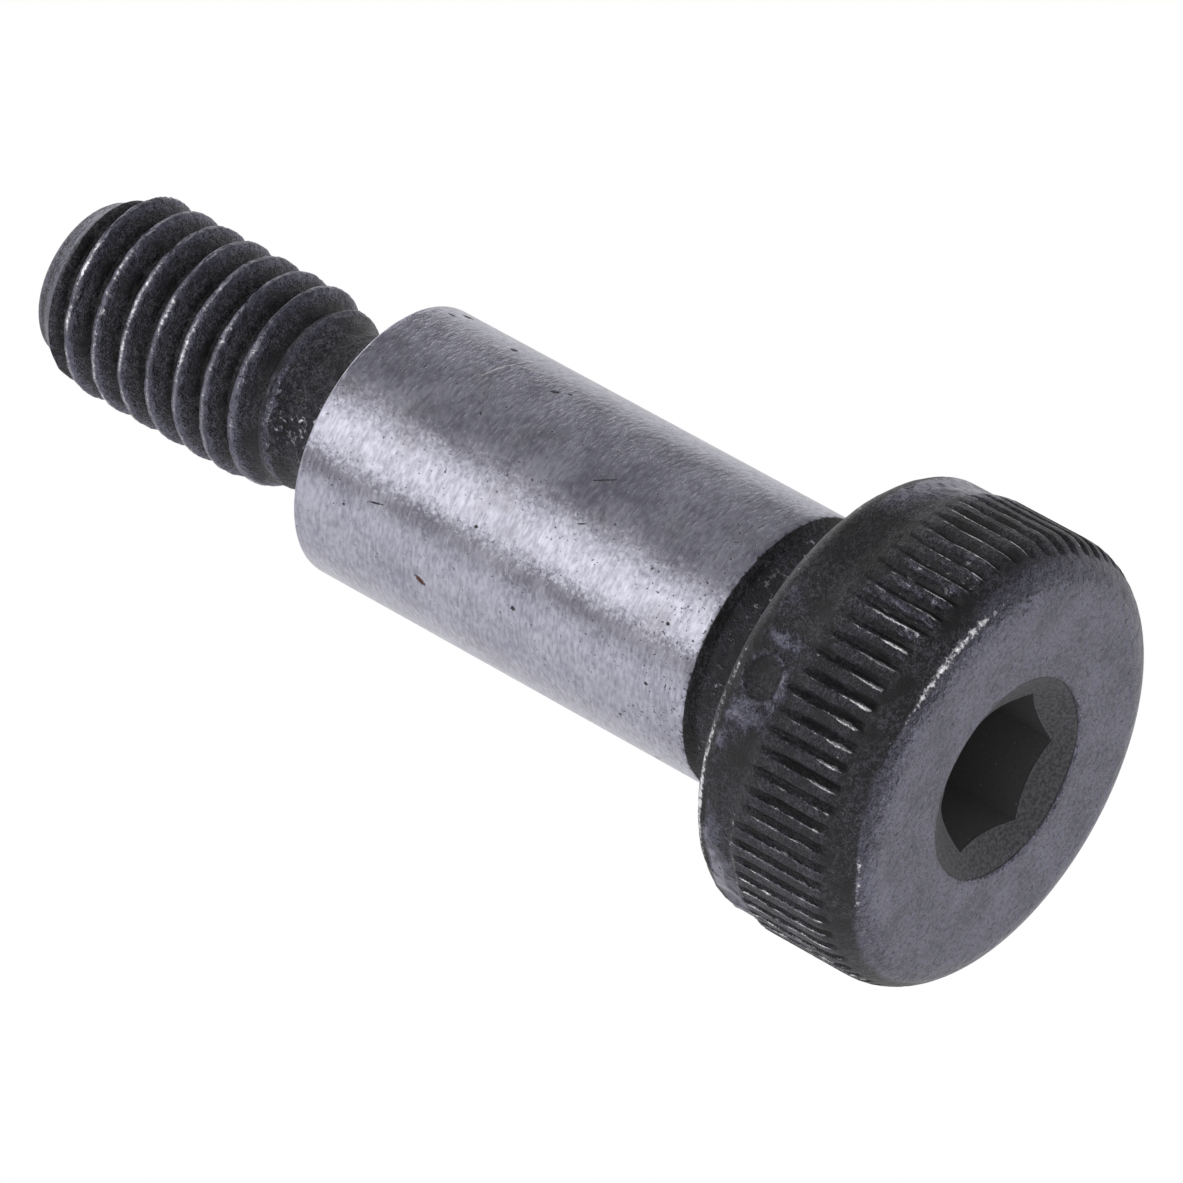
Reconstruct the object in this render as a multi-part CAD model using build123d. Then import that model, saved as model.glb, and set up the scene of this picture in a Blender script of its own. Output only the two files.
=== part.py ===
from build123d import *
import os
from math import ceil, radians, tan

# A hexagon-socket shoulder bolt, 8 mm shoulder by 16 mm, M6 x 1 thread.
# It stands on its head: the origin is the centre of the head's face, and +Z runs along the
# axis to the thread's tip. All sizes are in millimetres, and heights are above the head's face.

# Head
head_diameter = 13.0
head_height = 5.5
face_diameter = 10.0  # flat middle of the head's face
# The corner between the face and the side is round, drawn as three short cones.
face_edge_diameter = 11.76  # worn edge, where the face's shallow cone ends
face_edge_height = 0.3
corner_diameter = 12.4
corner_height = 0.6
side_start = 1.5
band_diameter = 12.78  # plain forged band beside the bearing face
band_height = 1.1
band_step = 0.3  # height over which the side narrows to the band
bearing_chamfer = 0.35

# Knurl, of straight V grooves that fade out towards the band
knurl_count = 68
knurl_depth = 0.3  # from the side's radius to the groove's root, at the corner
knurl_angle = 90.0  # between the two flanks of a groove
knurl_turn = 3.5  # degrees from +X to a groove; the knurl isn't indexed to the socket

# Hexagon socket
key_size = 4.0  # across flats
socket_depth = 3.3
countersink_diameter = 6.0
countersink_angle = 120.0
drill_point_angle = 120.0

# Shoulder, with the relief that grinding leaves beside the head
shoulder_diameter = 8.0
shoulder_length = 16.0  # from the bearing face to the shoulder's end
relief_diameter = 7.42
relief_length = 2.0
relief_fillet = 0.2  # drawn as a 45 degree cone
shoulder_chamfer = 0.05

# Thread, M6 x 1, with a neck between it and the shoulder's end
thread_size = 6.0
thread_diameter = 5.86  # over the crests
root_diameter = 4.77
pitch = 1.0
flank_angle = 60.0
thread_length = 11.0
neck_diameter = 4.58
neck_length = 1.7
neck_fillet = 0.25  # drawn as a 45 degree cone
neck_flare = 1.9  # height over which the neck widens to the thread's crests
tip_diameter = 4.4
groove_start = 1.075  # from the shoulder's end to the groove's centre on +X, clear of the neck

# Heights of the features
bearing_face = head_height
band_start = bearing_face - band_height
knurl_end = band_start - band_step
shoulder_start = bearing_face + relief_length
shoulder_end = bearing_face + shoulder_length
neck_end = shoulder_end + neck_length
tip = shoulder_end + thread_length

# Radii
head_radius = head_diameter / 2
band_radius = band_diameter / 2
relief_radius = relief_diameter / 2
shoulder_radius = shoulder_diameter / 2
neck_radius = neck_diameter / 2
thread_radius = thread_diameter / 2
root_radius = root_diameter / 2
tip_radius = tip_diameter / 2


def in_section(radius, height):
    """A point of the half section, which lies in the plane of X and Z."""
    return (radius, 0, height)


def turned_body():
    """The head, shoulder and thread blank, turned from one outline about the axis."""
    outline = Polyline(
        in_section(0, 0),
        in_section(face_diameter / 2, 0),
        in_section(face_edge_diameter / 2, face_edge_height),
        in_section(corner_diameter / 2, corner_height),
        in_section(head_radius, side_start),
        in_section(head_radius, knurl_end),
        in_section(band_radius, band_start),
        in_section(band_radius, bearing_face - bearing_chamfer),
        in_section(band_radius - bearing_chamfer, bearing_face),
        in_section(relief_radius + relief_fillet, bearing_face),
        in_section(relief_radius, bearing_face + relief_fillet),
        in_section(relief_radius, shoulder_start),
        in_section(shoulder_radius, shoulder_start + shoulder_radius - relief_radius),
        in_section(shoulder_radius, shoulder_end - shoulder_chamfer),
        in_section(shoulder_radius - shoulder_chamfer, shoulder_end),
        in_section(neck_radius + neck_fillet, shoulder_end),
        in_section(neck_radius, shoulder_end + neck_fillet),
        in_section(neck_radius, neck_end),
        in_section(thread_radius, neck_end + neck_flare),
        in_section(thread_radius, tip - (thread_radius - tip_radius)),
        in_section(tip_radius, tip),
        in_section(0, tip),
        close=True,
    )
    return revolve(make_face(outline), Axis.Z)


def knurl_groove():
    """One V groove on +X: its root slopes out from the corner to the side's surface."""
    slope = knurl_depth / (knurl_end - corner_height)
    root = head_radius - slope * knurl_end  # of the root's line, carried on to the face
    reach = head_radius + 0.2
    half_width = (reach - root) * tan(radians(knurl_angle / 2))
    mouth = Face(Wire.make_polygon([(root, 0, 0), (reach, half_width, 0), (reach, -half_width, 0)]))
    return loft([mouth, Vertex(reach, 0, (reach - root) / slope)])


def socket():
    """The hexagon, its drilled bottom and the countersink at its mouth."""
    inscribed = key_size / 2
    point_depth = inscribed / tan(radians(drill_point_angle / 2))
    hexagon = extrude(RegularPolygon(inscribed, 6, major_radius=False), socket_depth)
    drill_point = Pos(0, 0, socket_depth + point_depth / 2) * Cone(inscribed, 0, point_depth)
    mouth_radius = countersink_diameter / 2
    mouth_depth = mouth_radius / tan(radians(countersink_angle / 2))
    mouth = Pos(0, 0, mouth_depth / 2) * Cone(mouth_radius, 0, mouth_depth)
    return hexagon + drill_point + mouth


def thread_groove():
    """The helical groove between the crests, as stacked turns: it starts beside the neck,
    which it misses, and ends past the tip."""
    slope = tan(radians(flank_angle / 2))
    crest_width = pitch / 8 + (thread_size - thread_diameter) * slope

    def gap(radius):
        return pitch - crest_width + 2 * (radius - thread_radius) * slope

    start = shoulder_end + groove_start
    reach = thread_radius + 0.1
    corners = [
        (root_radius, start - gap(root_radius) / 2),
        (reach, start - gap(reach) / 2),
        (reach, start + gap(reach) / 2),
        (root_radius, start + gap(root_radius) / 2),
    ]
    section = Face(Wire.make_polygon([in_section(radius, height) for radius, height in corners]))
    path = Helix(pitch, pitch, thread_radius, center=(0, 0, start))
    turn = sweep(section, path, is_frenet=True)
    turns = ceil((tip - start) / pitch)
    return [Pos(0, 0, pitch * n) * turn for n in range(turns)]


def shoulder_bolt():
    body = turned_body()
    body -= PolarLocations(0, knurl_count, knurl_turn) * knurl_groove()
    body -= socket()
    body -= thread_groove()
    return body


os.makedirs("parts", exist_ok=True)
bolt = shoulder_bolt()
bolt.label = "shoulder_bolt"
export_step(bolt, "parts/shoulder_bolt.step")
print("volume", round(bolt.volume, 1), "mm3, size", bolt.bounding_box().size)
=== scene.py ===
"""A hexagon-socket shoulder bolt, dressed: one detailed skin over the CAD solid, its steel
finishes, and a plain pale studio seen from the photograph's angle."""

import bmesh
import bpy
import numpy as np
from mathutils import Matrix, Vector, noise


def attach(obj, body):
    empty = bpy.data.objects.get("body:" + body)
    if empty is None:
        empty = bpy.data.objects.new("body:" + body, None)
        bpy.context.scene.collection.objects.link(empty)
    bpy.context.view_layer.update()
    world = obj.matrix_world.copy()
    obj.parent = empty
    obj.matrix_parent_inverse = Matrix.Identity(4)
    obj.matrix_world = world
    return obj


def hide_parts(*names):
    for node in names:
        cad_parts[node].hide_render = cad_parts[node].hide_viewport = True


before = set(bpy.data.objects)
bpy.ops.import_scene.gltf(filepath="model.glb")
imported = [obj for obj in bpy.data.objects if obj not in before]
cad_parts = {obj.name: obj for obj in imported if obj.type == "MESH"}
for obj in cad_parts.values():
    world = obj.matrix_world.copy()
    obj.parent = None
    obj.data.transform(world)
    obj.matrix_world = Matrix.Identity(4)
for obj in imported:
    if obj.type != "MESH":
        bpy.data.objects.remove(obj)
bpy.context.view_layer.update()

# Sizes are in millimetres and angles in degrees, in the CAD's frame: the bolt stands on its
# head, heights are above the head's face, and azimuths turn from +X towards +Y.
MM = 0.001

# Head
SIDE_RADIUS = 6.5
CORNER_RADIUS = 1.37  # round between the face and the side
FACE_RADIUS = SIDE_RADIUS - CORNER_RADIUS  # flat middle of the face
RIM_TURN = 34  # angle round the corner, from the face, to its worn rim
BAND_RADIUS = 6.37  # plain forged band beside the bearing face
BACK_ROUND = 0.56  # round between the band and the bearing face
BEARING_HEIGHT = 5.5

# Knurl
GROOVES = 68
KNURL_TURN = 3.5  # from +X to a groove
VALLEY_RADIUS = 6.32  # at the bottom of a groove
# Round the head: azimuth, heights where the grooves start and end, half length of the step
# down to the band, length over which a groove fades out, and a groove's half width as a
# share of the pitch
KNURL = ((-140, 0.92, 4.00, 0.09, 0.35, 0.23), (-124, 0.95, 3.95, 0.10, 0.45, 0.23),
         (-105, 0.95, 3.75, 0.20, 0.70, 0.25), (-80, 0.95, 3.65, 0.35, 0.95, 0.27),
         (-62, 0.92, 3.60, 0.50, 1.10, 0.31), (-35, 0.80, 3.50, 0.60, 1.20, 0.32),
         (-10, 0.62, 3.90, 0.40, 0.80, 0.26), (40, 0.65, 4.10, 0.25, 0.60, 0.28),
         (100, 0.85, 3.80, 0.25, 0.50, 0.34), (140, 0.80, 3.90, 0.20, 0.50, 0.34),
         (170, 0.75, 4.05, 0.12, 0.35, 0.32))

# Forging marks on the band: azimuth, height, half width, half height and depth
DENTS = ((-88, 4.32, 0.60, 0.52, 0.110), (-124, 4.90, 0.80, 0.30, 0.060),
         (-141, 4.75, 0.62, 0.40, 0.080), (-157, 4.62, 0.60, 0.45, 0.080),
         (-171, 4.70, 0.55, 0.40, 0.070), (38, 4.75, 0.90, 0.36, 0.050),
         (87, 4.50, 0.60, 0.50, 0.070), (121, 4.85, 0.80, 0.30, 0.050),
         (160, 4.70, 0.70, 0.45, 0.060))
# Patches on the band, partly rubbed and partly painted light where its forging dents catch the
# light: azimuth, height, half width, half height and strength
RUBS_AND_PAINTED_LIGHT = ((-78, 4.25, 0.30, 0.80, 0.90), (-98, 4.60, 0.42, 0.75, 1.00),
           (-89, 3.70, 0.90, 0.22, 0.95), (-106, 5.00, 0.50, 0.30, 0.80),
           (-68, 4.80, 0.60, 0.40, 0.60), (-143, 5.05, 1.20, 0.25, 0.80),
           (-153, 4.75, 1.60, 0.65, 1.30), (-131, 4.90, 0.60, 0.40, 0.70),
           (-4, 4.45, 1.50, 0.90, 1.90), (-21, 4.85, 1.40, 0.55, 1.30),
           (60, 4.60, 0.90, 0.40, 0.60), (135, 4.50, 0.90, 0.50, 0.60))

# Stretches of the head's side that look alike: the azimuth of the middle, and the half width
HEAVY_RIM = (-60, 20)  # the rim of the face is worn bright
LIGHT_RIM = (-128, 16)  # the rim is worn a little
SHARP_LIPS = ((-73, 30), (-128, 20))  # the face's satin ends sharply at the rim
WIDE_LIP = (-15, 40)  # the satin reaches far round the corner
ROUGH_RIDGES = (-50, 22)  # the ridges' surface is coarsest
CLUMPS = (-50, 20)  # bright clumps on the ridges
PLAIN_RIDGES = (-20, 25)  # ridges with little satin
DULL_END = (-48, 14)  # dark ends of the grooves, beside the band
BLUNT_ENDS = (-80, 30)  # the grooves' worn edges are brightest beside the face
THIN_EDGES = ((-140, 30), (-16, 24))  # the worn edges are thin and even
DIM_EDGES = ((-50, 13), (-113, 14), (-84, 26))  # they are dim; the last only away from the face
SATIN_EDGES = (-138, 32)  # they are grey beside their bright line
WORN_STEP = (-138, 22)  # the step down to the band is worn
SATIN_BAND = (-135, 35)  # faint satin all over the band
WORN_BACK = (-122, 30)  # the edge beside the bearing face is worn

# Hexagon socket
KEY_SIZE = 4.0  # across flats
SOCKET_DEPTH = 3.3
SINK_RADIUS = 3.0
SINK_SLOPE = 3 ** 0.5  # of a 120 degree cone, radius over depth
DRILL_POINT = KEY_SIZE / 2 / SINK_SLOPE

# Shoulder and the relief beside the head
SHOULDER_RADIUS = 4.0
SHOULDER_END = BEARING_HEIGHT + 16.0
RELIEF_RADIUS = 3.71
RELIEF_END = 7.5
RELIEF_FILLET = 0.2

# Neck and thread
NECK_RADIUS = 2.29
NECK_FILLET = 0.25
FLARE_START = 23.2  # the neck widens from here to the crests
FLARE_END = 25.1
CREST_RADIUS = 2.93
ROOT_RADIUS = 2.385
PITCH = 1.0
CREST_FLAT = 0.17
ROOT_FLAT = 0.14
GROOVE_HEIGHT = 22.69  # a groove's centre on +X
THREAD_START = 22.4
TIP_RADIUS = 2.2
TIP_HEIGHT = 32.5
# How far the neck and thread reach from the axis: height and radius
THREAD_LIMIT = ((FLARE_START, NECK_RADIUS), (FLARE_END, CREST_RADIUS),
                (TIP_HEIGHT - 1.1, CREST_RADIUS), (TIP_HEIGHT - 0.45, 2.44),
                (TIP_HEIGHT - 0.08, 2.28), (TIP_HEIGHT, TIP_RADIUS))
FIRST_GROOVE = 0.14  # least depth of a groove on the flare
THREAD_LEAN = 0.05  # sideways at the tip, towards LEAN_TURN
LEAN_TURN = 9
TIP_LEAN = 0.07  # how far the tip's round is off the thread's middle, away from LEAN_TURN
# Stretches of the thread's side, given as those of the head are
# On the first stretch a painted highlight brightens the crests' wear and the clumps beside them;
# on the second, painted shade dims the crests
PAINTED_GLINT_CRESTS = (-86, 24)  # the crests glint, also beside their edge
PAINTED_SHADE_CRESTS = (-20, 32)  # they hardly do
ROUGH_NECK = (-105, 34)

# Columns of the skin's rings: COARSE for most, and 12 to a groove on the head's side. The
# coarse number is a multiple of 6, for the socket's corners.
COARSE = 204
coarse = np.arange(COARSE) * 360 / COARSE
groove_columns = np.array((0, 0.09, 0.17, 0.25, 0.31, 0.40, 0.5, 0.60, 0.69, 0.75, 0.83, 0.91))
groove_pitch = 360 / GROOVES
fine = (KNURL_TURN + (np.arange(GROOVES)[:, None] + groove_columns) * groove_pitch).ravel()

OXIDE, THREAD, SOCKET, GROUND = range(4)  # the skin's material slots
# What the materials read at each point: bright rubbed edges, partly painted highlight; hollows,
# with painted shade; and the tumbled finish of the face, partly painted light and shade
MARKS = ("worn", "hollow", "satin")


def polar(radius, height, azimuth):
    """Points from cylindrical coordinates, which are broadcast together."""
    a = np.radians(azimuth)
    return np.stack(np.broadcast_arrays(radius * np.cos(a), radius * np.sin(a), height), axis=-1)


def lumps(radius, height, azimuth, size, seed):
    """Smooth noise from -1 to 1, with lumps about size across, on a surface of the bolt."""
    points = polar(radius, height, azimuth) / size + seed
    values = [noise.noise(p) for p in points.reshape(-1, 3)]
    return np.array(values).reshape(points.shape[:-1])


def column(*values):
    """Values that go down the rows of a patch."""
    return np.concatenate([np.atleast_1d(v) for v in values])[:, None]


def smooth(value, low, high):
    """0 below low and 1 above high, with a smooth step between them."""
    t = np.clip((value - low) / (high - low), 0, 1)
    return t * t * (3 - 2 * t)


def bell(value, centre, width):
    """1 at the centre, falling to nothing about two widths away."""
    return np.exp(-(((value - centre) / width) ** 2))


def reach(azimuth, height, mark):
    """How far points are from the middle of a mark on the band, squared, in its half sizes."""
    across = np.radians(turn_between(azimuth, mark[0])) * SIDE_RADIUS / mark[2]
    return across**2 + ((height - mark[1]) / mark[3]) ** 2


def turn_between(azimuth, other):
    """The angle from one azimuth to another, from -180 to 180."""
    return (azimuth - other + 180) % 360 - 180


def on_stretch(azimuth, stretch):
    """1 in the middle of a stretch of the bolt's side, fading out round it."""
    return bell(turn_between(azimuth, stretch[0]), 0, stretch[1])


class Skin:
    """A closed surface of rings round the axis, each joined to the ring before it."""

    def __init__(self):
        self.points = []
        self.marks = {name: [] for name in MARKS}
        self.faces, self.slots = [], []
        self.last = None

    def store(self, points, marks):
        """Adds rows of points, and gives their numbers in the same rows."""
        first = sum(len(p) for p in self.points)
        rows, columns = points.shape[:2]
        self.points.append(points.reshape(-1, 3))
        for name, kept in self.marks.items():
            kept.append(np.broadcast_to(marks.get(name, 0.0), (rows, columns)).ravel())
        return first + np.arange(rows * columns).reshape(rows, columns)

    def cap(self, height, slot):
        """A point on the axis, joined to the ring before it or to the next."""
        point = self.store(polar(column(0.0), height, np.zeros(1)), {})[0]
        if self.last is not None:
            self.join(self.last, point, slot)
        self.last = point

    def rings(self, radius, height, azimuth, slot, **marks):
        """Rings from arrays of rows by columns."""
        for row in self.store(polar(radius, height, azimuth), marks):
            if self.last is not None:
                self.join(self.last, row, slot)
            self.last = row

    def join(self, below, above, slot):
        """Faces between two rings, or a ring and a point, which see them from outside."""
        if len(below) == len(above):
            turned = zip(below, np.roll(below, -1), np.roll(above, -1), above)
            self.faces += turned
        elif len(below) == 1:
            self.faces += ((below[0], b, a) for a, b in zip(above, np.roll(above, -1)))
        elif len(above) == 1:
            self.faces += ((a, b, above[0]) for a, b in zip(below, np.roll(below, -1)))
        else:
            self.join_fine(below, above)
        self.slots += [slot] * (len(self.faces) - len(self.slots))

    def join_fine(self, below, above):
        """Faces between a ring of coarse columns and one of fine columns."""
        starts = [int(abs(turn_between(fine, a)).argmin()) for a in coarse]
        for j, (start, end) in enumerate(zip(starts, starts[1:] + starts[:1])):
            k = (j + 1) % COARSE
            run = [(start + i) % len(fine) for i in range((end - start) % len(fine) + 1)]
            if len(below) == COARSE:
                self.faces.append((below[j], below[k], *above[run[::-1]]))
            else:
                self.faces.append((*below[run], above[k], above[j]))

    def helix(self, radius, height, azimuth, per_turn, slot, **marks):
        """Rows that climb one pitch a turn, so row k runs on into row k + per_turn. Its ends
        lie on the rings before and after it, and become one with them in mesh()."""
        rows = self.store(polar(radius, height, azimuth), marks)
        for low, high in zip(rows, rows[1:]):
            self.faces += zip(low[:-1], low[1:], high[1:], high[:-1])
        ends, starts = rows[:, -1], rows[per_turn:, 0]
        self.faces += zip(ends, starts, starts[1:], ends[1:])
        self.slots += [slot] * (len(self.faces) - len(self.slots))

    def mesh(self, name):
        """The finished mesh, in metres, with its marks as attributes."""
        points = np.concatenate(self.points)
        lean = THREAD_LEAN * np.clip(points[:, 2] - SHOULDER_END, 0, None)
        lean = lean / (TIP_HEIGHT - SHOULDER_END)
        points += polar(lean, 0 * lean, LEAN_TURN)
        made = bpy.data.meshes.new(name)
        made.from_pydata((points * MM).tolist(), [], [[int(i) for i in f] for f in self.faces])
        made.polygons.foreach_set("material_index", self.slots)
        for mark, values in self.marks.items():
            attribute = made.attributes.new(mark, "FLOAT", "POINT")
            attribute.data.foreach_set("value", np.concatenate(values).astype("f"))
        joined = bmesh.new()
        joined.from_mesh(made)
        bmesh.ops.remove_doubles(joined, verts=joined.verts, dist=1e-4 * MM)
        joined.to_mesh(made)
        joined.free()
        made.shade_smooth()
        made.set_sharp_from_angle(angle=np.radians(50))
        return made


def add_socket(skin):
    """The drill point, the hexagon's walls, the countersink and the flat of the face."""
    wall = KEY_SIZE / 2 / np.cos(np.radians(coarse % 60 - 30))
    skin.cap(SOCKET_DEPTH + DRILL_POINT, SOCKET)
    share = column(0.3, 0.65, 1.0)
    floor = SOCKET_DEPTH + DRILL_POINT * (1 - share)
    skin.rings(KEY_SIZE / 2 * share, floor, coarse, SOCKET, hollow=1.0)
    # The countersink meets the hexagon's walls along arcs, highest at the flats
    meet = (SINK_RADIUS - wall) / SINK_SLOPE
    share = column(0.0, 0.25, 0.5, 0.75, 0.97, 1.0)
    depth = SOCKET_DEPTH + (meet - SOCKET_DEPTH) * share
    skin.rings(wall, depth, coarse, SOCKET, hollow=1 - 0.7 * smooth(share, 0.97, 1.0))
    depth = meet * column(0.94, 0.65, 0.35, 0.12)
    skin.rings(SINK_RADIUS - SINK_SLOPE * depth, depth, coarse, SOCKET)
    # The countersink's rounded edge, and the face
    edge = SINK_RADIUS + column(-0.045, 0.01, 0.07)
    skin.rings(edge, column(0.035, 0.012, 0.0), coarse, OXIDE, satin=1.0,
               worn=column(0.1, 0.22, 0.05))
    radius = column(3.3, 3.8, 4.3, 4.8)
    skin.rings(radius, 0 * radius, coarse, OXIDE, satin=1.0)


def before_knurl(height, knurl_end, step):
    """The head's radius before its knurl: round corner, straight side, and lumpy band with
    its dents, each of which has a low rim."""
    rise = np.clip((CORNER_RADIUS - height) / CORNER_RADIUS, 0, 1)
    radius = FACE_RADIUS + CORNER_RADIUS * np.sqrt(1 - rise**2)
    to_band = smooth(height, knurl_end - step, knurl_end + step)
    radius = radius - (SIDE_RADIUS - BAND_RADIUS) * to_band
    for dent in DENTS:
        away = reach(fine, height, dent)
        radius = radius - dent[4] * np.clip(1 - away, 0, 1) ** 0.6
        radius = radius + 0.3 * dent[4] * bell(away, 1.4, 0.4)
    radius = radius + to_band * 0.025 * lumps(SIDE_RADIUS, height, fine, 1.1, 4.0)
    return radius + to_band * 0.009 * lumps(SIDE_RADIUS, height, fine, 0.25, 6.0)


def corner_satin_and_shade(turn):
    """The face's satin on the round corner, where it ends at the rim or fades out beyond, with
    painted shade that darkens it towards the rim.
    """
    sharp = np.clip(sum(on_stretch(fine, lip) for lip in SHARP_LIPS), 0, 1)
    beyond = 12 + 16 * on_stretch(fine, WIDE_LIP)
    beyond = beyond + 7 * lumps(SIDE_RADIUS, 0, fine, 1.2, 2.0)
    end = RIM_TURN + 1.5 + (1 - sharp) * beyond
    width = 1.5 + 0.5 * beyond * (1 - sharp)
    satin = 1 - smooth(turn + 0 * fine, end - width, end + width)
    # Painted shade darkens the satin towards the rim, where the corner curves away
    return satin * (1 - 0.40 * smooth(turn, 8, RIM_TURN - 4))


def rim_wear(turn):
    """How worn the rim is: heavily on one stretch of it, and lightly elsewhere."""
    heavy = on_stretch(fine, HEAVY_RIM)
    ragged = 0.82 + 0.3 * lumps(SIDE_RADIUS, 0, fine, 0.3, 8.0)
    ragged = ragged + 0.6 * lumps(SIDE_RADIUS, turn / 30, fine, 0.12, 8.0)
    worn = (0.62 * heavy + 0.36 * on_stretch(fine, LIGHT_RIM) + 0.10) * ragged
    return np.clip(worn, 0, 0.9) * bell(turn, RIM_TURN - 1, 3.4 + 2.8 * heavy)


class HeadSide:
    """The head's side on rows of heights and the fine columns: its radius and its marks."""

    def __init__(self, height):
        self.height = height
        around, *rows = zip(*KNURL)
        rows = [np.interp(fine, around, row, period=360) for row in rows]
        knurl_start, knurl_end, self.step, run_out, self.valley = rows
        self.knurl_end = knurl_end + 0.12 * lumps(SIDE_RADIUS, 0, fine, 0.9, 3.0)

        # Each groove starts and ends in its own place
        place = (fine - KNURL_TURN) / groove_pitch
        middle = KNURL_TURN + np.round(place) * groove_pitch
        self.place = place % 1
        self.start = knurl_start + 0.12 * lumps(SIDE_RADIUS, 2, middle, 0.35, 5.0)
        end = self.knurl_end + 0.22 * lumps(SIDE_RADIUS, 9, middle, 0.35, 5.0)
        self.fade = np.clip((end - height) / run_out, 0, 1) ** 0.7

        # From 0 at a groove's bottom to 1 at its top, with sides that wander
        bent = (self.place + 0.06 * self.lumps(0.55, 7.0)) % 1
        half_width = self.valley * (0.30 + 0.70 * self.fade)
        self.across = np.clip(np.minimum(bent, 1 - bent) / half_width, 0, 1)

        depth = (SIDE_RADIUS - VALLEY_RADIUS) * self.fade * (1 + 0.22 * self.lumps(0.28, 1.0))
        depth = depth * smooth(height, self.start - 0.12, self.start + 0.1)
        self.uncut = before_knurl(height, self.knurl_end, self.step)
        rough = 0.010 + 0.012 * on_stretch(fine, ROUGH_RIDGES)
        self.radius = self.uncut - depth * (1 - self.across**1.4)
        self.radius = self.radius + (height > 0.6) * rough * self.lumps(0.16, 2.0)

        self.broken = 0.9 + 0.7 * self.lumps(0.3, 3.0)
        self.clumps = np.clip(0.34 + self.lumps(0.13, 11.0), 0, 1) * on_stretch(fine, CLUMPS)
        self.clumps = self.clumps * (height > 0.9) * self.fade

        # The edge that is worn on one side of each groove, and how bright it is
        blunt = on_stretch(fine, BLUNT_ENDS) * bell(height, 1.35, 0.40)
        thin = 0.6 * on_stretch(fine, THIN_EDGES[0]) + on_stretch(fine, THIN_EDGES[1])
        beside = np.where(self.valley < 0.29, 0.75, 0.69)
        edge = bell(self.place, beside, 0.07 + 0.02 * blunt - 0.025 * thin)
        edge = edge * smooth(height, self.start, self.start + 0.1) * self.fade**0.5
        self.edge = edge * (0.95 + 0.35 * self.lumps(0.8, 9.0))
        first, second, third = (on_stretch(fine, dim) for dim in DIM_EDGES)
        dim = 1 - 0.45 * first - 0.22 * second - 0.22 * third * smooth(height, 1.6, 2.3)
        self.edge_wear = (0.44 + 0.22 * thin + 0.45 * blunt) * dim

    def lumps(self, size, seed):
        """Smooth noise over the side."""
        return lumps(SIDE_RADIUS, self.height, fine, size, seed)

    def worn(self):
        """The bright edges of the grooves and of the band's step, and the clumps."""
        step = bell(self.height, self.knurl_end + 0.4 * self.step, 0.07)
        step = step * on_stretch(fine, WORN_STEP)
        return self.edge * self.edge_wear + 0.5 * step + 0.38 * self.clumps

    def satin(self, corner):
        """The corner's satin, with the ridges', the band's and its patches', which are partly
        painted light; the largest dent gets painted shade and a painted highlight.
        """
        ridge = smooth(self.across, 0.6, 1.0) * self.fade * self.broken
        ridge = ridge * smooth(self.height, self.start, self.start + 0.2)
        satin = corner + ridge * (0.26 - 0.16 * on_stretch(fine, PLAIN_RIDGES))
        satin = satin + 0.45 * self.edge * on_stretch(fine, SATIN_EDGES)
        satin = satin + 0.90 * self.clumps * smooth(self.across, 0.3, 0.9)
        band = smooth(self.height, self.knurl_end, self.knurl_end + self.step)
        satin = satin + on_stretch(fine, SATIN_BAND) * (0.10 + 0.20 * band) * self.broken
        for patch in RUBS_AND_PAINTED_LIGHT:
            away = reach(fine, self.height, patch)
            satin = satin + patch[4] * np.exp(-away) * self.broken
        # Painted shade darkens the inside of the largest dent, and a painted highlight gives it a
        # pale outline
        away = reach(fine, self.height, DENTS[0])
        satin = satin * smooth(away, 0.7, 1.1) + 0.55 * bell(away, 1.3, 0.3) * self.broken
        return np.clip(satin, 0, 1.5)

    def hollow(self):
        """The grooves, where painted shade darkens the steel, and their dark ends on one stretch.
        """
        dull = 0.7 * on_stretch(fine, DULL_END) * smooth(self.height, 3.0, 3.6)
        return np.clip((self.uncut - self.radius) / 0.26 + dull, 0, 1)


def add_head(skin):
    """The head's rounded corner, knurled side and forged band, up to the bearing face."""
    turn = column(np.linspace(0, RIM_TURN - 2, 6), RIM_TURN, RIM_TURN + 2, RIM_TURN + 5,
                  45, 52, 59, 65, 71, 77, 83, 90)
    corner = CORNER_RADIUS * (1 - np.cos(np.radians(turn[:, 0])))
    height = column(corner, np.linspace(1.5, 2.6, 5), np.linspace(2.75, 4.2, 14),
                    np.linspace(4.33, BEARING_HEIGHT - BACK_ROUND, 6))
    rest = ((0, len(height) - len(turn)), (0, 0))
    side = HeadSide(height)
    skin.rings(np.minimum(side.radius, SIDE_RADIUS), height, fine, OXIDE,
               satin=side.satin(np.pad(corner_satin_and_shade(turn), rest)),
               worn=side.worn() + np.pad(rim_wear(turn), rest), hollow=side.hollow())

    # The rounded back edge, with its own worn line, and the bearing face
    turn = np.radians(column(12, 24, 36, 50, 68, 90))
    height = BEARING_HEIGHT - BACK_ROUND * (1 - np.sin(turn))
    radius = before_knurl(height, side.knurl_end, side.step) - BACK_ROUND * (1 - np.cos(turn))
    patchy = 0.36 + 0.30 * lumps(SIDE_RADIUS, 5, fine, 1.5, 5.0)
    patchy = patchy + 0.45 * on_stretch(fine, WORN_BACK)
    skin.rings(np.minimum(radius, SIDE_RADIUS), height, fine, OXIDE,
               worn=bell(turn, np.radians(30), np.radians(8)) * patchy)
    radius = column(5.4, 4.8, 4.2, 3.95)
    skin.rings(radius, BEARING_HEIGHT + 0 * radius, coarse, OXIDE)


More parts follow.
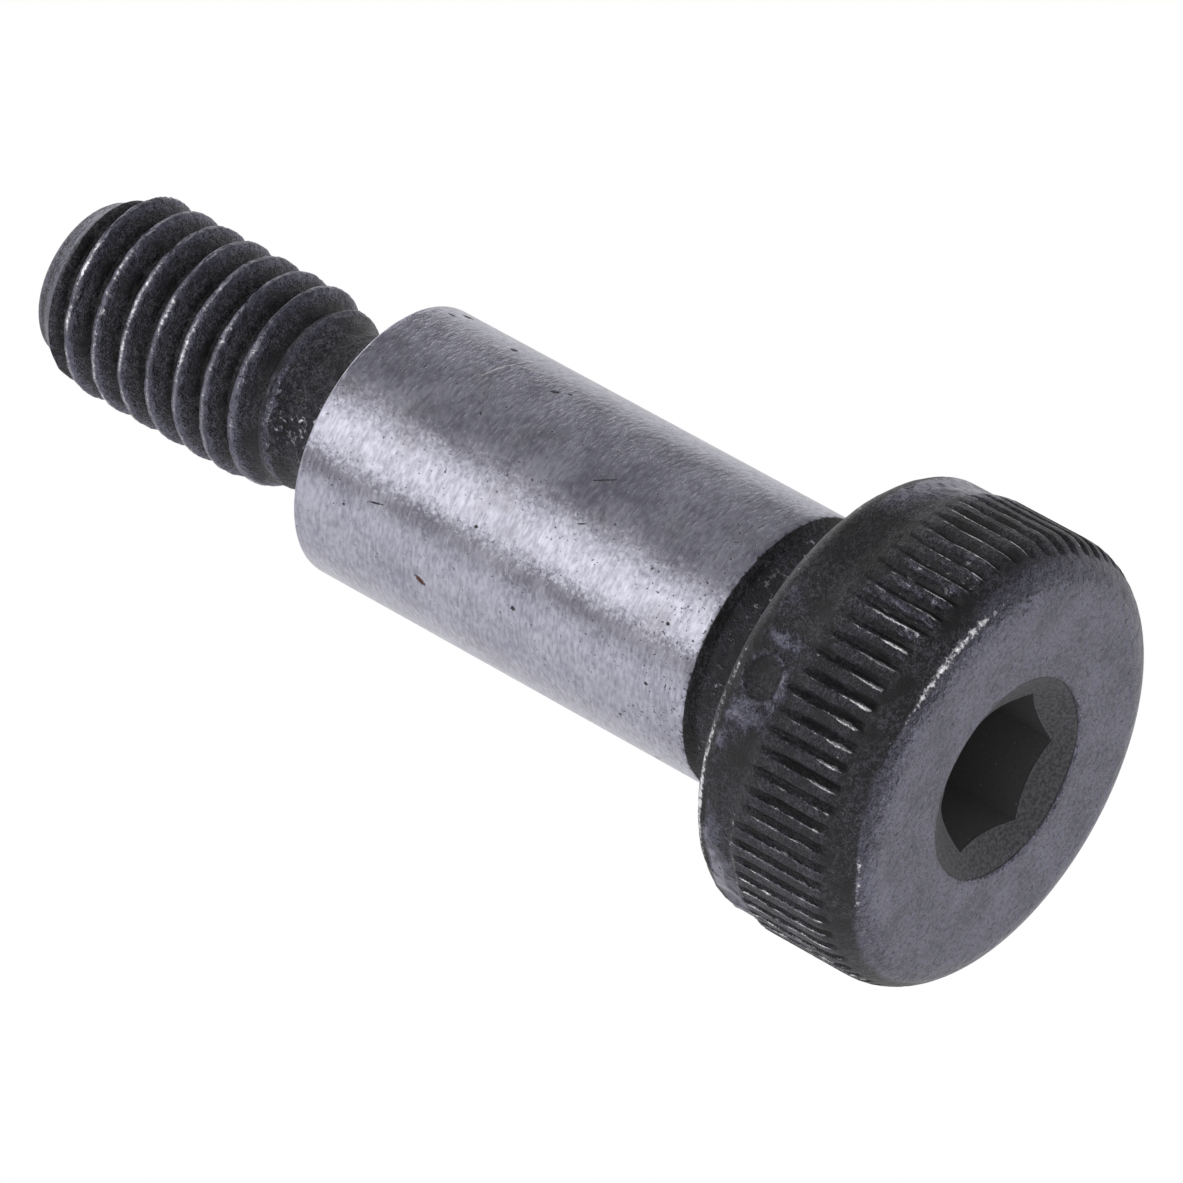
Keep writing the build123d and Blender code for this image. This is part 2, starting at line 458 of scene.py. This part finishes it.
def add_shank(skin):
    """The relief, the ground shoulder, and the fillet of the neck."""
    # The relief, with its fillet and the slope up to the shoulder, whose edge is ragged
    rise = column(0.0, 0.3, 0.7, 1.0) * RELIEF_FILLET
    radius = RELIEF_RADIUS + RELIEF_FILLET - rise
    # Painted shade darkens the relief's fillet, and faintly the relief
    skin.rings(radius, BEARING_HEIGHT + rise, coarse, OXIDE, hollow=0.8)
    height = column(np.linspace(BEARING_HEIGHT + 0.35, RELIEF_END, 14))
    radius = RELIEF_RADIUS + 0.015 * lumps(RELIEF_RADIUS, height, coarse, 0.25, 1.0)
    patchy = np.clip(0.30 + 0.5 * lumps(RELIEF_RADIUS, height, coarse, 0.20, 5.0), 0, 1)
    skin.rings(radius, height, coarse, OXIDE, hollow=0.15, satin=0.85 * patchy,
               worn=0.62 * patchy)
    rise = column(0.2, 0.5, 0.8, 0.93) * (SHOULDER_RADIUS - RELIEF_RADIUS)
    ragged = abs(lumps(SHOULDER_RADIUS, RELIEF_END + rise, coarse, 0.2, 1.0))
    skin.rings(RELIEF_RADIUS + rise - 0.025 * ragged, RELIEF_END + rise, coarse, OXIDE)

    # The shoulder, its rounded end, and the flat and the fillet round the neck
    start = RELIEF_END + SHOULDER_RADIUS - RELIEF_RADIUS
    height = column(start + 0.04, start + 0.1, start + 0.25,
                    np.linspace(start + 0.6, SHOULDER_END - 0.6, 16), SHOULDER_END - 0.2,
                    SHOULDER_END - 0.06)
    radius = SHOULDER_RADIUS - 0.012 * bell(height, start + 0.03, 0.05) + 0 * coarse
    skin.rings(radius, height, coarse, GROUND)
    skin.rings(SHOULDER_RADIUS - column(0.006, 0.03, 0.07),
               SHOULDER_END - column(0.03, 0.006, 0.0), coarse, GROUND)
    radius = column(3.6, 3.1, NECK_RADIUS + NECK_FILLET + 0.03)
    skin.rings(radius, SHOULDER_END + 0 * radius, coarse, THREAD)
    share = column(0.0, 0.15, 0.4, 0.7, 1.0)
    radius = NECK_RADIUS + NECK_FILLET * (1 - share) ** 2
    # Painted shade darkens the fillet round the neck
    skin.rings(radius, SHOULDER_END + NECK_FILLET * share, coarse, THREAD, hollow=0.5)


def thread_shape(height):
    """The radius of the neck and thread, and how near each point is to a crest, to the flank
    that rises to it from the head's side, and to a root."""
    wander = 0.03 * lumps(3, height, coarse, 0.45, 5.0)
    place = (height + wander - GROOVE_HEIGHT) / PITCH - coarse / 360
    place = (place - np.round(place)) * PITCH
    headward = bell(place, PITCH * 0.40, 0.09)
    place = abs(place)
    crest = bell(place, PITCH / 2, 0.068)
    flank = (place - ROOT_FLAT / 2) / ((PITCH - CREST_FLAT - ROOT_FLAT) / 2)
    flank = np.clip(flank, 0, 1)
    limit = np.interp(height, *zip(*THREAD_LIMIT))
    off = TIP_LEAN * np.cos(np.radians(coarse - LEAN_TURN))
    limit = limit - off * smooth(height, TIP_HEIGHT - 1.1, TIP_HEIGHT - 0.3)
    # The grooves get shallower down the flare, but the tip's round cuts them off
    shallow = FIRST_GROOVE * smooth(height, FLARE_START - 0.6, FLARE_START + 0.1)
    flare = limit - np.maximum(limit - ROOT_RADIUS, shallow) * (1 - flank)
    form = ROOT_RADIUS + (CREST_RADIUS - ROOT_RADIUS) * flank
    radius = np.where(height < FLARE_END, flare, np.minimum(form, limit))
    on_neck = 1 - smooth(height, FLARE_START + 0.1, FLARE_END - 0.3)
    rough = 0.02 * lumps(3, height, coarse, 0.16, 2.0) * on_neck
    dents = 0.07 * abs(lumps(3, height, coarse, 0.3, 7.0)) * bell(place, PITCH / 2, 0.10)
    return np.minimum(radius + rough - dents, CREST_RADIUS), crest, headward, 1 - flank


def neck_rubs(height):
    """The rubbed marks of the neck's rough stretch, from 0 to 1."""
    rough = 0.38 + 0.85 * lumps(NECK_RADIUS, height, coarse, 0.13, 5.0)
    return np.clip(rough * on_stretch(coarse, ROUGH_NECK), 0, 1)


def crest_marks(height, crest, headward):
    """How worn and how satin the crests are: broken bright lines, with clumps beside them, a
    painted highlight where the crests face the front lamp and painted shade on another stretch.
    """
    patchy = 0.6 + 0.5 * lumps(CREST_RADIUS, height, coarse, 0.7, 4.0)
    clumps = np.clip(0.2 + 1.1 * lumps(CREST_RADIUS, height, coarse, 0.13, 3.0), 0, 1)
    bright, dull = on_stretch(coarse, PAINTED_GLINT_CRESTS), on_stretch(coarse, PAINTED_SHADE_CRESTS)
    full = smooth(height, FLARE_START + 0.1, FLARE_END - 0.2)
    tip = smooth(height, TIP_HEIGHT - 0.34, TIP_HEIGHT - 0.2)
    whole = full * smooth(height, TIP_HEIGHT - 0.6, TIP_HEIGHT - 0.9)
    # A painted highlight where the crests face the front lamp, and painted shade on another
    # stretch
    worn = 0.70 * crest * patchy * (0.86 + 0.22 * bright - 0.45 * dull)
    worn = worn + 0.66 * headward * clumps * bright
    worn = worn * whole * (0.7 + 0.3 * smooth(height, 26, 30))
    satin = np.maximum(crest**0.09 * full, 0.6 * tip) * (0.7 + 0.6 * patchy)
    satin = satin + 0.24 * crest * whole * (1 - 0.7 * dull)
    first = bell(height, FLARE_START + 0.4, 0.6)
    return worn, satin + 0.55 * crest * first * patchy, full, tip


def add_thread(skin):
    """The neck, and the thread on rows that follow its helix, up to the tip."""
    height = column(np.linspace(SHOULDER_END + NECK_FILLET + 0.1, THREAD_START, 8))
    rubs = neck_rubs(height)
    # Painted shade darkens the neck
    skin.rings(thread_shape(height)[0], height, coarse, THREAD, hollow=0.85, satin=rubs,
               worn=0.57 * rubs)
    # Rows of one pitch, as distances from a groove's centre: at the middle and edges of
    # the root and the crest, and between them on the flanks
    crest = (PITCH - CREST_FLAT) / 2
    rows = np.array((0, 0.07, 0.15, 0.24, 0.33, crest - 0.02, crest + 0.03, 0.5))
    rows = np.concatenate((rows, PITCH - rows[-2:0:-1]))
    turns = int(TIP_HEIGHT - THREAD_START) + 3
    climb = GROOVE_HEIGHT - 2 * PITCH + column((np.arange(turns)[:, None] * PITCH + rows).ravel())
    height = np.clip(climb + coarse / 360 * PITCH, THREAD_START, TIP_HEIGHT)
    radius, crest, headward, root = thread_shape(height)
    worn, satin, full, tip = crest_marks(height, crest, headward)
    rubs = (1 - full) * neck_rubs(height)
    # Painted shade darkens the roots, and the flare below the full thread
    skin.helix(radius, height, coarse, len(rows), THREAD, worn=worn + 0.57 * rubs,
               satin=satin + rubs, hollow=np.maximum(root * full * (1 - tip), 0.75 * (1 - full)))
    skin.last = None
    height = column(TIP_HEIGHT)
    skin.rings(thread_shape(height)[0], height, coarse, THREAD)
    radius = column(TIP_RADIUS - 0.2, 1.6, 0.8)
    skin.rings(radius, TIP_HEIGHT + 0 * radius, coarse, THREAD)
    skin.cap(TIP_HEIGHT, THREAD)


class Nodes:
    """Short names for the shader nodes of one material."""

    def __init__(self, name):
        self.material = bpy.data.materials.new(name)
        self.material.use_nodes = True
        self.tree = self.material.node_tree
        self.tree.nodes.clear()
        self.coordinates = self.add("ShaderNodeTexCoord").outputs["Object"]

    def add(self, kind, inputs=(), **settings):
        node = self.tree.nodes.new(kind)
        for name, value in settings.items():
            setattr(node, name, value)
        for socket, value in dict(inputs).items():
            if isinstance(value, bpy.types.NodeSocket):
                self.tree.links.new(value, node.inputs[socket])
            else:
                node.inputs[socket].default_value = value
        return node

    def attribute(self, name):
        return self.add("ShaderNodeAttribute", attribute_name=name).outputs["Fac"]

    def math(self, operation, a, b=0.0, c=0.0):
        return self.add("ShaderNodeMath", {0: a, 1: b, 2: c}, operation=operation).outputs[0]

    def vector(self, operation, a, b=(0, 0, 0)):
        node = self.add("ShaderNodeVectorMath", {0: a, 1: b}, operation=operation)
        return node.outputs["Value" if operation == "LENGTH" else "Vector"]

    def grain(self, size, detail=2.0, stretch=(1, 1, 1), where=None):
        """Noise from 0 to 1, with grains about size millimetres across."""
        where = self.vector("MULTIPLY", where or self.coordinates, stretch)
        inputs = {"Vector": where, "Scale": 1 / (size * MM), "Detail": detail}
        return self.add("ShaderNodeTexNoise", inputs).outputs[0]

    def round_axis(self):
        """Coordinates in which a grain squeezed along Z makes rings round the axis."""
        flat = self.vector("MULTIPLY", self.coordinates, (1, 1, 0))
        out = self.add("ShaderNodeCombineXYZ", {2: self.vector("LENGTH", flat)}).outputs[0]
        around = self.vector("MULTIPLY", self.vector("NORMALIZE", flat), (4 * MM, 4 * MM, 0))
        return self.vector("ADD", around, out)

    def step(self, value, low, high, start=0.0, end=1.0):
        """Goes smoothly from start to end as value goes from low to high."""
        inputs = {"Value": value, "From Min": low, "From Max": high,
                  "To Min": start, "To Max": end}
        return self.add("ShaderNodeMapRange", inputs,
                        interpolation_type="SMOOTHSTEP").outputs[0]

    def mix(self, factor, a, b):
        return self.add("ShaderNodeMix", {0: factor, 6: a, 7: b}, data_type="RGBA").outputs[2]

    def spot(self, azimuth, height, radius, size, lean, grain):
        """1 inside a small mark on the bolt's side, of a length and width, leaning from the
        axis by an angle, with an edge made ragged by grain."""
        place = Vector(polar(radius, height, azimuth) * MM)
        turn = Matrix.Rotation(np.radians(azimuth), 3, "Z")
        turn = turn @ Matrix.Rotation(np.radians(lean), 3, "X")
        mapping = self.add("ShaderNodeMapping", {
            "Vector": self.coordinates, "Location": place, "Rotation": turn.to_euler(),
            "Scale": (radius / 2 * MM, size[1] / 2 * MM, size[0] / 2 * MM)}, vector_type="TEXTURE")
        away = self.vector("LENGTH", mapping.outputs[0])
        away = self.math("MULTIPLY_ADD", grain, 1.2, away)
        return self.step(away, 1.3, 1.7, 1.0, 0.0)

    def bump(self, height, depth, strength=1.0, normal=None):
        """A normal for heights from 0 to 1 that stand for depth millimetres."""
        inputs = {"Height": height, "Distance": depth * MM, "Strength": strength}
        if normal is not None:
            inputs["Normal"] = normal
        return self.add("ShaderNodeBump", inputs).outputs[0]

    def finish(self, **sockets):
        named = {name.replace("_", " "): value for name, value in sockets.items()}
        shader = self.add("ShaderNodeBsdfPrincipled", named)
        self.add("ShaderNodeOutputMaterial", {"Surface": shader.outputs[0]})
        return self.material


# Colours of the oxide
# Painted shade: the near black that hollows are darkened to
PAINTED_SHADE_BLACK = (0.0055, 0.0055, 0.006, 1)  # in hollows
SATIN_DARK, SATIN_LIGHT = (0.068, 0.067, 0.086, 1), (0.141, 0.138, 0.182, 1)
SATIN_SPECK = (0.045, 0.044, 0.056, 1)
# The lightest grey: rubbed steel, and painted light on the band's patches and the crests
RUBBED_AND_PAINTED_LIGHT_GREY = (0.26, 0.255, 0.30, 1)
BARE_STEEL = (0.85, 0.84, 0.87, 1)


def black_oxide(name, size, patches, black, grey):
    """Black forged and rolled steel with granular grey patches, which cover more of it as
    patches goes from 0 to 1, and bright worn edges. Painted shade darkens its hollows to near
    black. The satin mark turns it into the face's tumbled violet-grey, which carries painted
    light and shade where the skin's marks put them."""
    n = Nodes(name)
    hollow = n.attribute("hollow")
    granules = n.math("MULTIPLY_ADD", n.grain(size * 2.5, 2.0), 0.7, n.grain(size, 2.0))
    height = n.add("ShaderNodeSeparateXYZ", {0: n.coordinates}).outputs[2]
    speckle = n.step(height, 0.5 * MM, 1.5 * MM, 0.15, 0.55)
    satin = n.math("SUBTRACT", granules, 0.85)
    satin = n.math("MULTIPLY_ADD", satin, speckle, n.attribute("satin"))
    satin = n.step(satin, 0.10, 0.85)

    # The black steel, with painted shade that darkens it to near black in hollows, and its grey
    # patches, which keep out of hollows
    patchy = n.step(n.grain(0.9, 4.0), 0.62 - 0.4 * patches, 0.82 - 0.4 * patches, 0.05, 1.0)
    patchy = n.math("MULTIPLY", patchy, n.step(hollow, 0.1, 0.9, 1.0, 0.2))
    speckled = n.math("MULTIPLY", n.step(granules, 0.74, 1.04), patchy)
    dark = n.mix(n.step(hollow, 0.1, 1.0), black, PAINTED_SHADE_BLACK)
    dark = n.mix(speckled, dark, grey)
    glints = n.math("MULTIPLY", n.step(n.grain(0.06, 1.0), 0.70, 0.80), patchy)
    glints = n.math("MULTIPLY", glints, n.step(n.grain(0.5, 2.0), 0.45, 0.62))

    # The satin finish, with clouds, faint rings round the axis and dark specks; where the satin
    # mark runs high, its lightest grey stands for rubbing and for painted light
    cloud = n.grain(1.4, 3.0)
    rings = n.grain(0.12, 2.0, (0.35, 0.35, 1), n.round_axis())
    tone = n.math("MULTIPLY_ADD", cloud, 0.7, n.math("MULTIPLY_ADD", rings, 0.4, granules))
    violet = n.mix(n.step(tone, 1.14, 1.66), SATIN_DARK, SATIN_LIGHT)
    violet = n.mix(n.step(n.attribute("satin"), 1.0, 1.5), violet, RUBBED_AND_PAINTED_LIGHT_GREY)
    specks = n.step(n.grain(0.10, 1.0), 0.29, 0.37)
    violet = n.mix(specks, SATIN_SPECK, violet)
    colour = n.mix(satin, dark, violet)

    # Worn edges, broken up by grains
    broken = n.math("MULTIPLY_ADD", n.grain(0.05, 2.0), 0.6, n.grain(0.12, 2.0, (1, 1, 0.4)))
    worn = n.math("MULTIPLY_ADD", broken, 0.8, n.attribute("worn"))
    worn = n.step(worn, 0.92, 1.26)
    glints = n.math("MULTIPLY", glints, n.step(satin, 0, 0.5, 0.5, 0.0))
    worn = n.math("MAXIMUM", worn, glints)
    colour = n.mix(worn, colour, BARE_STEEL)

    uneven = n.math("MULTIPLY", n.grain(0.32, 4.0), n.step(satin, 0, 1, 1.2, 6.0))
    pits = n.step(n.grain(0.26, 1.0), 0.22, 0.30, 0.0, 1.4)
    uneven = n.math("MULTIPLY_ADD", n.math("MULTIPLY", pits, satin), 1.0, uneven)
    granular = n.math("MULTIPLY", granules, n.step(satin, 0, 1, 1.0, 0.5))
    scuffs = n.math("MULTIPLY", n.grain(0.07, 1.0), worn)
    granular = n.math("MULTIPLY_ADD", scuffs, 1.2, granular)
    return n.finish(
        Base_Color=colour,
        Metallic=n.math("MAXIMUM", worn, n.step(satin, 0.0, 1.0, 0.0, 0.85)),
        Roughness=n.step(worn, 0.0, 1.0, n.step(satin, 0.0, 1.0, 0.50, 0.38), 0.28),
        Normal=n.bump(granular, 0.030, 1.0, n.bump(uneven, 0.022)),
        Specular_IOR_Level=0.30,
    )


def socket_steel():
    """The countersink and the hexagon: matt, granular, and nearly black inside."""
    n = Nodes("socket_steel")
    grain = n.grain(0.09, 3.0)
    cone = n.mix(n.step(grain, 0.3, 0.7), (0.040, 0.040, 0.045, 1), (0.100, 0.099, 0.110, 1))
    glints = n.step(n.grain(0.12, 1.0), 0.72, 0.80)
    inside = n.mix(glints, (0.110, 0.110, 0.114, 1), (0.25, 0.25, 0.25, 1))
    return n.finish(
        Base_Color=n.mix(n.attribute("hollow"), cone, inside),
        Metallic=0.3,
        Roughness=0.6,
        Normal=n.bump(grain, 0.02),
        Specular_IOR_Level=0.25,
    )


# Marks on the shoulder: azimuth, height, length, width and lean from the axis
RUST = (-127.3, 16.95, 0.42, 0.19, -27)
DARK_MARKS = ((-54.4, 12.95, 0.75, 0.06, 34), (-105.7, 18.80, 0.55, 0.06, 13),
              (-27.5, 16.34, 0.30, 0.16, 30), (-24.0, 16.00, 0.18, 0.10, 20),
              (-13.5, 18.60, 0.22, 0.22, 15), (-4.1, 20.75, 0.30, 0.28, 10),
              (-12.0, 20.90, 0.28, 0.14, 10), (-94.4, 15.55, 0.12, 0.10, 0),
              (-74.1, 12.70, 0.26, 0.05, 25), (-54.8, 17.30, 0.16, 0.05, -50),
              (-117.0, 13.74, 0.16, 0.13, 20), (-112.8, 19.80, 0.09, 0.08, 0),
              (-91.5, 8.97, 0.13, 0.10, 0), (-117.5, 9.10, 0.15, 0.11, 0),
              (-139.7, 9.97, 0.12, 0.10, 0), (-162.2, 9.20, 0.20, 0.14, 0),
              (35.0, 14.20, 0.90, 0.04, 12), (80.0, 10.10, 0.16, 0.12, 0),
              (120.0, 18.00, 0.60, 0.05, 60), (150.0, 12.60, 0.13, 0.10, 0),
              (165.0, 10.50, 0.80, 0.04, -35))
LIGHT_MARKS = ((-30.1, 18.08, 1.50, 0.06, 77), (-22.0, 17.60, 0.55, 0.06, 22),
               (60.0, 12.00, 1.10, 0.05, -40))
# The shoulder's colours
GROUND_DARK, GROUND_LIGHT = (0.265, 0.260, 0.315, 1), (0.475, 0.470, 0.54, 1)
STAIN = (0.185, 0.180, 0.185, 1)
PIT = (0.11, 0.108, 0.12, 1)
DIRT = (0.035, 0.035, 0.042, 1)
SCRATCH = (0.85, 0.84, 0.80, 1)
RUST_BROWN = (0.085, 0.040, 0.028, 1)
BLACK_EDGE = (0.02, 0.02, 0.022, 1)


def ground_steel():
    """The shoulder: ground round its axis, with scratches, pits and a speck of rust. Pits
    are more frequent near the head, where the edge is ragged and black."""
    n = Nodes("ground_steel")
    lines = n.grain(0.075, 3.0, (0.22, 0.22, 1))
    mottle = n.grain(0.13, 3.0, (0.6, 0.6, 1))
    blotches = n.grain(1.3, 4.0)
    height = n.add("ShaderNodeSeparateXYZ", {0: n.coordinates}).outputs[2]
    head_end = n.step(height, (RELIEF_END + 0.4) * MM, (RELIEF_END + 3.0) * MM, 1.0, 0.0)
    pitted = n.math("MULTIPLY_ADD", n.grain(0.8, 2.0), 0.16, n.math("MULTIPLY", head_end, 0.06))
    pits = n.math("SUBTRACT", n.grain(0.08, 1.0, (1, 1, 0.8)), pitted)
    pits = n.step(pits, 0.145, 0.215)
    edge = n.math("MULTIPLY_ADD", n.grain(0.20, 3.0), -0.35 * MM, height)
    edge = n.step(edge, (RELIEF_END + 0.04) * MM, (RELIEF_END + 0.16) * MM)
    tone = n.math("MULTIPLY_ADD", lines, 0.5, n.math("MULTIPLY", mottle, 0.6))
    tone = n.math("MULTIPLY_ADD", blotches, 0.45, tone)
    colour = n.mix(n.step(tone, 0.54, 1.02), GROUND_DARK, GROUND_LIGHT)
    stain = n.step(n.grain(1.1, 5.0), 0.56, 0.74, 0.0, 0.35)
    colour = n.mix(stain, colour, STAIN)
    colour = n.mix(pits, PIT, colour)
    rough = n.grain(0.06)
    dirt = 0.0
    for azimuth, up, *size, lean in DARK_MARKS:
        mark = n.spot(azimuth, up, SHOULDER_RADIUS, size, lean, rough)
        dirt = n.math("MAXIMUM", mark, dirt)
    colour = n.mix(dirt, colour, DIRT)
    for azimuth, up, *size, lean in LIGHT_MARKS:
        mark = n.spot(azimuth, up, SHOULDER_RADIUS, size, lean, rough)
        colour = n.mix(n.math("MULTIPLY", mark, 0.6), colour, SCRATCH)
    azimuth, up, *size, lean = RUST
    rust = n.spot(azimuth, up, SHOULDER_RADIUS, size, lean, rough)
    colour = n.mix(rust, colour, RUST_BROWN)
    colour = n.mix(edge, BLACK_EDGE, colour)
    normal = n.bump(lines, 0.009)
    normal = n.bump(mottle, 0.018, 1.0, normal)
    normal = n.bump(pits, 0.010, 1.0, normal)
    return n.finish(
        Base_Color=colour,
        Metallic=n.step(dirt, 0.0, 1.0, 1.0, 0.3),
        Roughness=n.step(dirt, 0.0, 1.0, n.step(blotches, 0.3, 0.7, 0.28, 0.36), 0.6),
        Normal=normal,
    )


def add_bolt():
    """The bolt's skin as one piece, which stands for the CAD solid."""
    skin = Skin()
    add_socket(skin)
    add_head(skin)
    add_shank(skin)
    add_thread(skin)
    bolt = bpy.data.objects.new("bolt", skin.mesh("bolt"))
    bpy.context.scene.collection.objects.link(bolt)
    head = black_oxide("head_oxide", 0.055, 0.60,
                       (0.011, 0.011, 0.0122, 1), (0.064, 0.063, 0.077, 1))
    thread = black_oxide("thread_oxide", 0.05, 0.70,
                         (0.050, 0.050, 0.058, 1), (0.275, 0.270, 0.320, 1))
    for material in (head, thread, socket_steel(), ground_steel()):
        bolt.data.materials.append(material)
    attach(bolt, "root")
    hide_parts("shoulder_bolt")


# The studio. The photograph looks at the head's face, so its camera is below the floor's
# level: the floor shows only from above, and lamps below it light the head.
FLOOR_RADIUS = 900.0
FLOOR_GAP = 0.02  # keeps the floor just under the head's face
LAMP_DISTANCE = 260.0
FLAG_DISTANCE = 180.0
# Lamps, by name, azimuth, elevation, width, height and radiance
SOFTBOXES = (("front_softbox", -94.5, 32, 154, 260, 1.01),
             ("upper_softbox", 20, 62, 220, 220, 1.2),
             ("lower_softbox", 99, -66, 280, 130, 1.35))
# Cards that only reflections see, by name, azimuth, elevation, width, height and grey
FLAGS = (("right_flag", -10, 0, 495, 600, 0.32),
         ("left_flag", -122, 0, 54, 420, 0.12),
         ("left_glow", -147, 0, 60, 420, 1.18),
         ("far_flag", -190, 0, 90, 420, 0.90),
         ("lower_flag", -81, -88, 280, 120, 0.08))
WORLD_LIGHT = 0.55  # the backdrop's strength as a light, where 1 is white
FLOOR_GREY = 0.86
FLOOR_FADE = (60, 600)  # distances at which the floor starts to whiten and is white


def on_ring(azimuth, elevation, distance):
    """A place round the bolt's middle, in metres."""
    a, e = np.radians(azimuth), np.radians(elevation)
    away = Vector((np.cos(a) * np.cos(e), np.sin(a) * np.cos(e), np.sin(e)))
    return Vector((0, 0, TIP_HEIGHT / 2 * MM)) + away * distance * MM


def facing_bolt(place):
    """The matrix of an object at a place, whose -Z looks at the bolt's middle."""
    look = Vector((0, 0, TIP_HEIGHT / 2 * MM)) - place
    return Matrix.Translation(place) @ look.to_track_quat("-Z", "Y").to_matrix().to_4x4()


def add_softbox(name, azimuth, elevation, width, height, radiance):
    """A rectangular lamp of a known brightness."""
    lamp = bpy.data.lights.new(name, "AREA")
    lamp.shape = "RECTANGLE"
    lamp.size, lamp.size_y = width * MM, height * MM
    lamp.energy = radiance * np.pi * lamp.size * lamp.size_y
    box = bpy.data.objects.new(name, lamp)
    box.matrix_world = facing_bolt(on_ring(azimuth, elevation, LAMP_DISTANCE))
    bpy.context.scene.collection.objects.link(box)


def add_flag(name, azimuth, elevation, width, height, grey):
    """A card that only reflections see, as studios use to give metal its form."""
    made = bpy.data.meshes.new(name)
    w, h = width / 2 * MM, height / 2 * MM
    made.from_pydata([(-w, -h, 0), (w, -h, 0), (w, h, 0), (-w, h, 0)], [], [(0, 1, 2, 3)])
    card = Nodes(name)
    glow = card.add("ShaderNodeEmission", {"Color": (grey, grey, grey * 1.05, 1)})
    card.add("ShaderNodeOutputMaterial", {"Surface": glow.outputs[0]})
    made.materials.append(card.material)
    flag = bpy.data.objects.new(name, made)
    flag.matrix_world = facing_bolt(on_ring(azimuth, elevation, FLAG_DISTANCE))
    flag.visible_camera = flag.visible_diffuse = flag.visible_shadow = False
    bpy.context.scene.collection.objects.link(flag)


def add_floor():
    """A pale floor that is clear from below, and goes white like the backdrop far away."""
    around = bmesh.new()
    bmesh.ops.create_circle(around, cap_ends=True, segments=128, radius=FLOOR_RADIUS * MM)
    made = bpy.data.meshes.new("floor")
    around.to_mesh(made)
    around.free()
    n = Nodes("floor")
    below = n.add("ShaderNodeNewGeometry").outputs["Backfacing"]
    pale = n.add("ShaderNodeBsdfDiffuse", {"Color": (FLOOR_GREY, FLOOR_GREY, FLOOR_GREY, 1)})
    white = n.add("ShaderNodeEmission", {"Color": (1, 1, 1, 1)})
    away = n.step(n.vector("LENGTH", n.coordinates), *(d * MM for d in FLOOR_FADE))
    pale = n.add("ShaderNodeMixShader", {0: away, 1: pale.outputs[0], 2: white.outputs[0]})
    clear = n.add("ShaderNodeBsdfTransparent")
    either = n.add("ShaderNodeMixShader", {0: below, 1: pale.outputs[0], 2: clear.outputs[0]})
    n.add("ShaderNodeOutputMaterial", {"Surface": either.outputs[0]})
    made.materials.append(n.material)
    floor = bpy.data.objects.new("floor", made)
    floor.location.z = -FLOOR_GAP * MM
    floor.visible_glossy = floor.visible_diffuse = floor.visible_shadow = False
    bpy.context.scene.collection.objects.link(floor)


def add_world():
    """White to the camera and in reflections, and soft grey as a light."""
    world = bpy.data.worlds.new("studio")
    bpy.context.scene.world = world
    world.use_nodes = True
    tree = world.node_tree
    tree.nodes.clear()
    path = tree.nodes.new("ShaderNodeLightPath")
    shown = path.outputs["Is Camera Ray"]
    for ray in ("Is Glossy Ray", "Is Transmission Ray"):
        either = tree.nodes.new("ShaderNodeMath")
        either.operation = "MAXIMUM"
        tree.links.new(shown, either.inputs[0])
        tree.links.new(path.outputs[ray], either.inputs[1])
        shown = either.outputs[0]
    mix = tree.nodes.new("ShaderNodeMixShader")
    tree.links.new(shown, mix.inputs[0])
    for slot, strength in ((1, WORLD_LIGHT), (2, 1.0)):
        light = tree.nodes.new("ShaderNodeBackground")
        light.inputs["Color"].default_value = (1, 1, 1, 1)
        light.inputs["Strength"].default_value = strength
        tree.links.new(light.outputs[0], mix.inputs[slot])
    output = tree.nodes.new("ShaderNodeOutputWorld")
    tree.links.new(mix.outputs[0], output.inputs["Surface"])


# The camera, which rolls the bolt over as the photograph does. Seen from it, the middle of
# the bearing face lies to the right of the view's middle, below it and in front.
CAMERA_TURN = 9.0  # of the viewpoint round the axis, from straight along +Y
CAMERA_RISE = 30.4  # how far it looks up
CAMERA_ROLL = 28.9  # how far the axis leans from the picture's sides
BEARING_SEEN = (6.710, 2.612, 304.74)  # right, down and forward
LENS = 352.7
SENSOR = 36.0


def add_camera():
    """A long lens at the photograph's viewing angle."""
    rise, roll = np.radians(CAMERA_RISE), np.radians(CAMERA_ROLL)
    forward = Vector((0, np.cos(rise), np.sin(rise)))
    right = Vector((np.sin(roll), np.sin(rise) * np.cos(roll), -np.cos(rise) * np.cos(roll)))
    down = forward.cross(right)
    axes = Matrix((right, -down, -forward)).transposed()
    bearing = Vector((0, 0, BEARING_HEIGHT))
    place = bearing - sum((a * d for a, d in zip((right, down, forward), BEARING_SEEN)), Vector())
    turn = Matrix.Rotation(np.radians(CAMERA_TURN), 4, "Z")
    lens = bpy.data.cameras.new("camera")
    lens.lens, lens.sensor_width = LENS, SENSOR
    camera = bpy.data.objects.new("camera", lens)
    camera.matrix_world = turn @ Matrix.Translation(place * MM) @ axes.to_4x4()
    bpy.context.scene.collection.objects.link(camera)
    bpy.context.scene.camera = camera


bpy.context.scene.view_settings.view_transform = "Standard"
add_bolt()
add_floor()
add_world()
for softbox in SOFTBOXES:
    add_softbox(*softbox)
for flag in FLAGS:
    add_flag(*flag)
add_camera()
